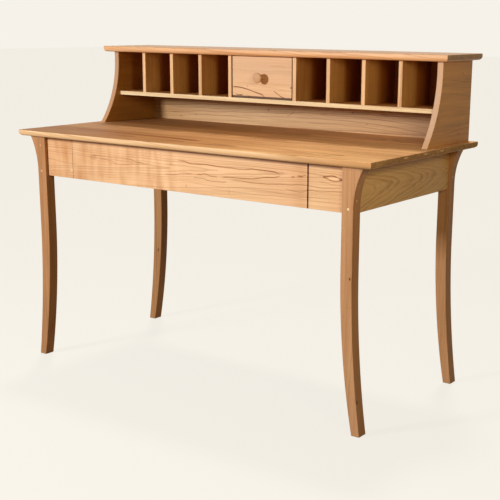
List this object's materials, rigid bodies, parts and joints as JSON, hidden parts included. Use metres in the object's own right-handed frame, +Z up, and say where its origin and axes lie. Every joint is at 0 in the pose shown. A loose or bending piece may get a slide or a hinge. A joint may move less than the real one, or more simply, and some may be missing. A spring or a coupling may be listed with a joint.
{
  "type": "shaker sewing desk",
  "caption": "Cherry writing and sewing desk on slender kicked legs, with a wide frieze drawer and a raised hutch of pigeonholes around a small knobbed drawer.",
  "frame": {"origin": "on the floor under the middle of the desk", "axes": "+X to the sitter's right along the desk, +Y from the front to the back, +Z up"},
  "size_m": [1.33, 0.625, 1.02],
  "materials": {
    "top_cherry": "oiled cherry, satin",
    "hutch_top_cherry": "oiled cherry, satin",
    "leg_cherry": "oiled cherry, satin",
    "apron_cherry": "oiled cherry, satin",
    "front_cherry": "oiled cherry, satin",
    "hutch_side_cherry": "oiled cherry, satin",
    "hutch_inner_cherry": "oiled cherry, satin",
    "back_panel_cherry": "oiled cherry, satin",
    "small_front_cherry": "oiled cherry, satin",
    "knob_cherry": "turned cherry, satin",
    "peg_maple": "maple end grain, satin",
    "button_maple": "maple, oiled",
    "drawer_maple": "maple, waxed",
    "inner_maple": "maple, waxed",
    "screw_steel": "zinc plated"
  },
  "bodies": {
    "desk": {"apron_back": "apron_cherry", "apron_left": "apron_cherry", "apron_right": "apron_cherry", "desk_top": "top_cherry", "drawer_kicker_left": "inner_maple", "drawer_kicker_right": "inner_maple", "drawer_partition_left": "inner_maple", "drawer_partition_right": "inner_maple", "drawer_runner_left": "inner_maple", "drawer_runner_right": "inner_maple", "front_panel_left": "front_cherry", "front_panel_right": "front_cherry", "front_rail": "inner_maple", "hutch_back_panel": "back_panel_cherry", "hutch_back_screws": "screw_steel", "hutch_dowels": "peg_maple", "hutch_shelf": "hutch_inner_cherry", "hutch_side_left": "hutch_side_cherry", "hutch_side_right": "hutch_side_cherry", "hutch_top": "hutch_top_cherry", "joint_pegs": "peg_maple", "leg_back_left": "leg_cherry", "leg_back_right": "leg_cherry", "leg_front_left": "leg_cherry", "leg_front_right": "leg_cherry", "pigeonhole_divider_1": "hutch_inner_cherry", "pigeonhole_divider_2": "hutch_inner_cherry", "pigeonhole_divider_3": "hutch_inner_cherry", "pigeonhole_divider_4": "hutch_inner_cherry", "pigeonhole_divider_5": "hutch_inner_cherry", "pigeonhole_divider_6": "hutch_inner_cherry", "pigeonhole_divider_7": "hutch_inner_cherry", "pigeonhole_divider_8": "hutch_inner_cherry", "small_drawer_stops": "drawer_maple", "tabletop_buttons": "button_maple", "tabletop_screws": "screw_steel"},
    "desk_drawer": {"desk_drawer_back": "drawer_maple", "desk_drawer_bottom": "drawer_maple", "desk_drawer_front": "front_cherry", "desk_drawer_screws": "screw_steel", "desk_drawer_side_left": "drawer_maple", "desk_drawer_side_right": "drawer_maple"},
    "small_drawer": {"small_drawer_back": "drawer_maple", "small_drawer_bottom": "drawer_maple", "small_drawer_front": "small_front_cherry", "small_drawer_knob": "knob_cherry", "small_drawer_screws": "screw_steel", "small_drawer_side_left": "drawer_maple", "small_drawer_side_right": "drawer_maple"}
  },
  "joints": [
    {"name": "desk_drawer_slide", "type": "slide", "parent": "desk", "child": "desk_drawer", "axis": [0, -1, 0], "range_m": [0, 0.38]},
    {"name": "small_drawer_slide", "type": "slide", "parent": "desk", "child": "small_drawer", "axis": [0, -1, 0], "range_m": [0, 0.115]}
  ]
}
